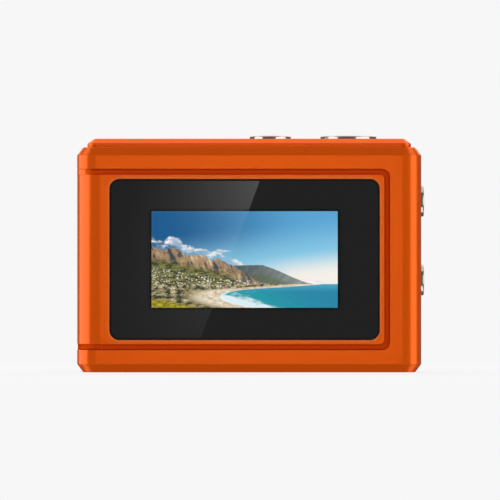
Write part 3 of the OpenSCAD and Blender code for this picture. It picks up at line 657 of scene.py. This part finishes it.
def soften(node):
    """Rounds a node's sharp edges with modifiers, and gives it its finish."""
    obj = NODES[node]
    weld = obj.modifiers.new("weld", "WELD")
    weld.merge_threshold = WELD
    width = SOFT_MM.get(node, SOFT_DEFAULT)
    if width:
        flat = obj.modifiers.new("flat", "DECIMATE")
        flat.decimate_type = "DISSOLVE"
        flat.angle_limit = FLAT_ANGLE
        soft = obj.modifiers.new("soft", "BEVEL")
        soft.width = width * MM
        soft.segments = 3
        soft.limit_method = "ANGLE"
        soft.angle_limit = SHARP_ANGLE
        soft.use_clamp_overlap = False
        normal = obj.modifiers.new("normal", "WEIGHTED_NORMAL")
        normal.keep_sharp = True
        obj.data.polygons.foreach_set("use_smooth", [True] * len(obj.data.polygons))
    obj.data.materials.clear()
    obj.data.materials.append(finish_of(node))


for node_name in sorted(NODES):
    soften(node_name)


# ---------------------------------------------------------------- small details

def add_piece(name, mesh, slot):
    """A visual piece that rides on the camera's body and takes a record slot's finish."""
    obj = bpy.data.objects.new(name, mesh)
    bpy.context.scene.collection.objects.link(obj)
    mesh.materials.append(FINISH[slot])
    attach(obj, "camera")


def soft_bars(name, boxes, round_mm):
    """Mesh of boxes in millimetres, each a low and a high corner, with rounded edges."""
    mesh = bpy.data.meshes.new(name)
    bm = bmesh.new()
    for low, high in boxes:
        low, high = Vector(low) * MM, Vector(high) * MM
        made = bmesh.ops.create_cube(bm, size=1.0)
        for vert in made["verts"]:
            vert.co = Vector(high[a] if vert.co[a] > 0 else low[a] for a in range(3))
    bmesh.ops.bevel(bm, geom=list(bm.edges), offset=round_mm * MM, segments=2, profile=0.5,
                    affect="EDGES")
    bm.to_mesh(mesh)
    bm.free()
    return mesh


# the thread in millimetres, and two counts of the rings that make it
THREAD_R = 3.175
THREAD_DEPTH = 0.56
THREAD_PITCH = 1.27
THREAD_GAP = 0.01
THREAD_END = 0.75
RIB_FOOT = 0.48
RIB_CREST = 0.08
RINGS_PER_TURN = 48
FADE_RINGS = 16


def thread_ring(bm, centre, angle, height, size):
    """The rib's cross section at one angle; size is 1, and less where the rib thins out."""
    wall = THREAD_R - THREAD_GAP
    crest = THREAD_R - THREAD_DEPTH * size
    ring = []
    for radius, up in ((wall, -RIB_FOOT), (crest, -RIB_CREST), (crest, RIB_CREST), (wall, RIB_FOOT)):
        point = Vector((centre.x + radius * math.cos(angle), centre.y + radius * math.sin(angle),
                        height + up * size))
        ring.append(bm.verts.new(point * MM))
    return ring


def tripod_thread():
    """Thread inside the tripod socket, one rib that winds up the bore and thins out at its ends."""
    middle, half = middle_and_half("tripod_insert")
    bottom = middle.z - half.z + THREAD_END
    turns = 2 * (half.z - THREAD_END) / THREAD_PITCH
    count = int(turns * RINGS_PER_TURN)
    mesh = bpy.data.meshes.new("tripod_thread")
    bm = bmesh.new()
    rings = []
    for i in range(count + 1):
        size = min(1.0, i / FADE_RINGS + 0.05, (count - i) / FADE_RINGS + 0.05)
        height = bottom + THREAD_PITCH * i / RINGS_PER_TURN
        rings.append(thread_ring(bm, middle, math.tau * i / RINGS_PER_TURN, height, size))
    for first, second in zip(rings, rings[1:]):
        for k in range(4):
            bm.faces.new((first[k], first[(k + 1) % 4], second[(k + 1) % 4], second[k]))
    bm.faces.new(rings[0][::-1])
    bm.faces.new(rings[-1])
    bmesh.ops.recalc_face_normals(bm, faces=list(bm.faces))
    bm.to_mesh(mesh)
    bm.free()
    add_piece("tripod_thread", mesh, "brass_insert")


# the ports' tongues and contacts in millimetres, and half the share of the pitch in a contact
TONGUE_BACK_FROM_MOUTH = 0.6
PORT_END_WALL = 0.98
CONTACT_BACK_FROM_TIP = 0.25
CONTACT_PROUD = 0.06
CONTACT_SUNK = 0.04
CONTACT_SHARE = 0.28


def port_tongue(port, half_high, thick, contacts, pitch):
    """Plastic tongue in the middle of a port's mouth, with a row of metal contacts on it."""
    middle, half = middle_and_half(port)
    front = middle.x - half.x + TONGUE_BACK_FROM_MOUTH
    back = middle.x + half.x - PORT_END_WALL
    face = middle.y - thick / 2
    tongue = ((front, face, middle.z - half_high),
              (back, middle.y + thick / 2, middle.z + half_high))
    add_piece(port + "_tongue", soft_bars(port + "_tongue", [tongue], 0.08), "inner_plastic")
    bars = []
    for i in range(contacts):
        z = middle.z + (i - (contacts - 1) / 2) * pitch
        bars.append(((front + CONTACT_BACK_FROM_TIP, face - CONTACT_PROUD, z - pitch * CONTACT_SHARE),
                     (back, face + CONTACT_SUNK, z + pitch * CONTACT_SHARE)))
    add_piece(port + "_contacts", soft_bars(port + "_contacts", bars, 0.015), "brass_insert")


tripod_thread()
port_tongue("usb_port", 2.5, 0.55, 5, 0.80)
port_tongue("hdmi_port", 2.1, 0.50, 8, 0.48)


# ---------------------------------------------------------------- studio

PALE = srgb(247, 247, 247)
ROOM_LIGHT = 0.13


def studio_world():
    """Pale backdrop for the camera and a dim, even room for the light."""
    world = bpy.data.worlds.new("studio_world")
    bpy.context.scene.world = world
    world.use_nodes = True
    tree = world.node_tree
    tree.nodes.clear()
    seen = tree.nodes.new("ShaderNodeBackground")
    seen.inputs["Color"].default_value = (*PALE, 1)
    room = tree.nodes.new("ShaderNodeBackground")
    room.inputs["Color"].default_value = (1, 1, 1, 1)
    room.inputs["Strength"].default_value = ROOM_LIGHT
    path = tree.nodes.new("ShaderNodeLightPath")
    mix = tree.nodes.new("ShaderNodeMixShader")
    out = tree.nodes.new("ShaderNodeOutputWorld")
    tree.links.new(path.outputs["Is Camera Ray"], mix.inputs[0])
    tree.links.new(room.outputs[0], mix.inputs[1])
    tree.links.new(seen.outputs[0], mix.inputs[2])
    tree.links.new(mix.outputs[0], out.inputs[0])


AIM = Vector((0, 0, 20 * MM))


def direction(turn, rise):
    """Unit vector: turn 0 is towards the display side, 90 is +X; rise is above the horizon."""
    t, r = math.radians(turn), math.radians(rise)
    return Vector((math.sin(t) * math.cos(r), -math.cos(t) * math.cos(r), math.sin(r)))


def facing(point, target):
    """Rotation that turns an object's -Z axis from point to target."""
    return (target - point).to_track_quat("-Z", "Y").to_matrix().to_4x4()


def reach(distance, degrees):
    """Width of a box at a distance that spans the angle."""
    return 2 * distance * math.tan(math.radians(degrees / 2))


def softbox(name, turn, rise, distance, wide, high, radiance):
    """Rectangle of light that faces the object, and spans wide by high degrees as seen from it."""
    across, tall = reach(distance, wide), reach(distance, high)
    light = bpy.data.lights.new(name, "AREA")
    light.shape = "RECTANGLE"
    light.size, light.size_y = across, tall
    light.energy = 4 * across * tall * radiance
    obj = bpy.data.objects.new(name, light)
    point = AIM + direction(turn, rise) * distance
    obj.matrix_world = Matrix.Translation(point) @ facing(point, AIM)
    obj.visible_camera = False
    bpy.context.scene.collection.objects.link(obj)
    return obj


def studio_lights():
    """Soft boxes at both sides, above and behind, and fills. Only the corner fills are mirrored."""
    softbox("softbox_right", 76, 4, 0.6, 41, 64, 1.28)
    left = softbox("softbox_left", -93, 4, 0.6, 67, 64, 1.4)
    left.data.color = (0.96, 0.98, 1.35)
    softbox("softbox_top", 180, 65, 0.6, 70, 34, 0.8)
    softbox("softbox_lens_right", 158, 30, 0.7, 30, 36, 0.9)
    softbox("softbox_lens_left", -160, 30, 0.7, 26, 36, 0.9)
    for side, side_name in ((-1, "left"), (1, "right")):
        for up, up_name in ((-1, "low"), (1, "high")):
            tag = side_name + "_" + up_name
            front = softbox("fill_front_" + tag, side * 28, up * 26, 0.9, 26, 26, 2.9)
            softbox("fill_corner_" + tag, side * 106, up * 50, 0.8, 26, 22, 0.8)
            back = softbox("fill_lens_" + tag, side * 160, up * 46, 0.9, 26, 26, 3.0)
            front.visible_glossy = False
            back.visible_glossy = False


# the polished buttons, which are lit by boxes of their own
KEYS = ("power_button", "shutter_button", "up_button", "down_button")


def key_lights():
    """Soft boxes for the polished buttons alone, in place of the side and top ones and the card."""
    keys = bpy.data.collections.new("polished_keys")
    others = bpy.data.collections.new("all_but_keys")
    for node in KEYS:
        keys.objects.link(NODES[node])
        others.objects.link(NODES[node])
    # a collection of excluded objects alone stands for everything but them
    for item in others.collection_objects:
        item.light_linking.link_state = "EXCLUDE"
    for name in ("softbox_left", "softbox_right", "softbox_top", "glass_card"):
        bpy.data.objects[name].light_linking.receiver_collection = others
    boxes = (softbox("key_right", 64, 4, 0.6, 64, 50, 1.3),
             softbox("key_left", -72, 4, 0.6, 54, 50, 1.3),
             softbox("key_over", 180, 80, 0.6, 100, 60, 0.5),
             softbox("key_under", 0, -68, 0.6, 40, 44, 1.1))
    for box in boxes:
        box.data.color = (1.0, 0.975, 0.94)
        box.light_linking.receiver_collection = keys


def quad(name, corners):
    """An object of one flat face."""
    mesh = bpy.data.meshes.new(name)
    mesh.from_pydata(corners, [], [(0, 1, 2, 3)])
    mesh.update()
    obj = bpy.data.objects.new(name, mesh)
    bpy.context.scene.collection.objects.link(obj)
    return obj


# metres: the camera's place and the width that it sees, and the card in front of it
VIEW_DISTANCE = 1.450
CARD_DISTANCE = 0.40
VIEW_X = 0.14 * MM
VIEW_Z = 21.3 * MM
VIEW_WIDTH = 87.0 * MM

CARD_SIDE = 38.0 * MM
CARD_DOWN = 27.0 * MM
CARD_UP = 26.5 * MM

# millimetres on the glass: the slanted line that ends the card's bright wedge, with its place at
# the glass's top edge and its lean, and how the wedge fades to the left and downwards
LINE_X = 1.9
LINE_LEAN = 0.375
WEDGE_WIDE = 25.0
WEDGE_FOOT = -9.0
WEDGE_TALL = 40.0

# radiance of the card
EVEN_GLOW = 0.36
RING_GLOW = 3.7
WEDGE_GLOW = 1.5
DISPLAY_DIM = 0.72


def on_the_glass(g, place):
    """X and Z, in millimetres, of the spot on the glass in which the camera sees a card's point."""
    x, _, z = g.split(place)
    grow = 1 + CARD_DISTANCE / VIEW_DISTANCE
    return (x - VIEW_X / MM) / grow + VIEW_X / MM, (z - VIEW_Z / MM) / grow + VIEW_Z / MM


def card_glow(g, x, z):
    """Even glow with a brighter wedge, dim over the display and bright outside the glass."""
    glass, glass_half = middle_and_half("cover_glass")
    line = x - LINE_X - (z - glass.z - glass_half.z) * LINE_LEAN
    fade = g.math("MAXIMUM", 1 + line / WEDGE_WIDE, 0.0)
    rise = g.math("MAXIMUM", (z - WEDGE_FOOT) / WEDGE_TALL, 0.0)
    wedge = fade * fade * rise * rise * g.step(line, 0.12, -0.12)
    out_x = g.math("ABSOLUTE", x - glass.x) - glass_half.x
    out_z = g.math("ABSOLUTE", z - glass.z) - glass_half.z
    ring = g.step(g.math("MAXIMUM", out_x, out_z), 0.55, 2.95)
    glow = EVEN_GLOW + ring * RING_GLOW + wedge * WEDGE_GLOW * (1 - ring)

    display, half = middle_and_half("display_panel")
    over_x = g.step(g.math("ABSOLUTE", x - display.x) - half.x, 0.7, -0.9)
    over_z = g.step(g.math("ABSOLUTE", z - display.z) - half.z, 0.5, -0.9)
    return glow * (1 - over_x * over_z * DISPLAY_DIM)


def glass_card():
    """Card between the glass and the camera, unseen by the camera, that the glass mirrors."""
    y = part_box("cover_glass")[0].y - CARD_DISTANCE
    left, right = VIEW_X - CARD_SIDE, VIEW_X + CARD_SIDE
    bottom, top = VIEW_Z - CARD_DOWN, VIEW_Z + CARD_UP
    card = quad("glass_card", [(left, y, bottom), (right, y, bottom), (right, y, top), (left, y, top)])
    g = Graph("glass_card_glow")
    x, z = on_the_glass(g, g.place())
    light = g.add("Emission", {"Color": (1, 1, 1), "Strength": card_glow(g, x, z)})
    g.add("OutputMaterial", {"Surface": light.outputs[0]})
    card.data.materials.append(g.material)
    card.visible_camera = False
    card.visible_shadow = False


# metres, and then how far the floor's shadow shows, in millimetres
FLOOR_REACH = 6.0
FLOOR_Z = -0.05 * MM
SHADOW_NEAR = 60.0
SHADOW_FAR = 140.0


def floor():
    """Pale floor with a soft shadow under the object; clear from below."""
    r = FLOOR_REACH
    plane = quad("floor", [(-r, -r, FLOOR_Z), (r, -r, FLOOR_Z), (r, r, FLOOR_Z), (-r, r, FLOOR_Z)])
    g = Graph("floor_pale")
    x, y, _ = g.split(g.place())
    radius = g.math("SQRT", x * x + y * y)
    near = g.step(radius, SHADOW_FAR, SHADOW_NEAR)
    even = g.add("Emission", {"Color": PALE, "Strength": 1.0})
    glow = g.add("Emission", {"Color": PALE, "Strength": 0.86})
    paint = g.add("BsdfDiffuse", {"Color": (0.12, 0.12, 0.12)})
    lit = g.add("AddShader", {0: glow.outputs[0], 1: paint.outputs[0]})
    top = g.add("MixShader", {0: near, 1: even.outputs[0], 2: lit.outputs[0]})
    clear = g.add("BsdfTransparent")
    back = g.add("NewGeometry").outputs["Backfacing"]
    both = g.add("MixShader", {0: back, 1: top.outputs[0], 2: clear.outputs[0]})
    g.add("OutputMaterial", {"Surface": both.outputs[0]})
    plane.data.materials.append(g.material)
    plane.visible_diffuse = False
    plane.visible_glossy = False
    plane.visible_transmission = False
    plane.visible_shadow = False


def camera():
    """Long lens, straight at the display side, at the height of the object's middle."""
    data = bpy.data.cameras.new("camera")
    data.sensor_width = 36.0
    data.lens = data.sensor_width * VIEW_DISTANCE / VIEW_WIDTH
    data.clip_start, data.clip_end = 0.05, 50.0
    obj = bpy.data.objects.new("camera", data)
    obj.location = (VIEW_X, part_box("rear_cover")[0].y - VIEW_DISTANCE, VIEW_Z)
    obj.rotation_euler = (math.radians(90), 0, 0)
    bpy.context.scene.collection.objects.link(obj)
    bpy.context.scene.camera = obj


studio_world()
studio_lights()
glass_card()
key_lights()
floor()
camera()
bpy.context.scene.view_settings.view_transform = "Standard"
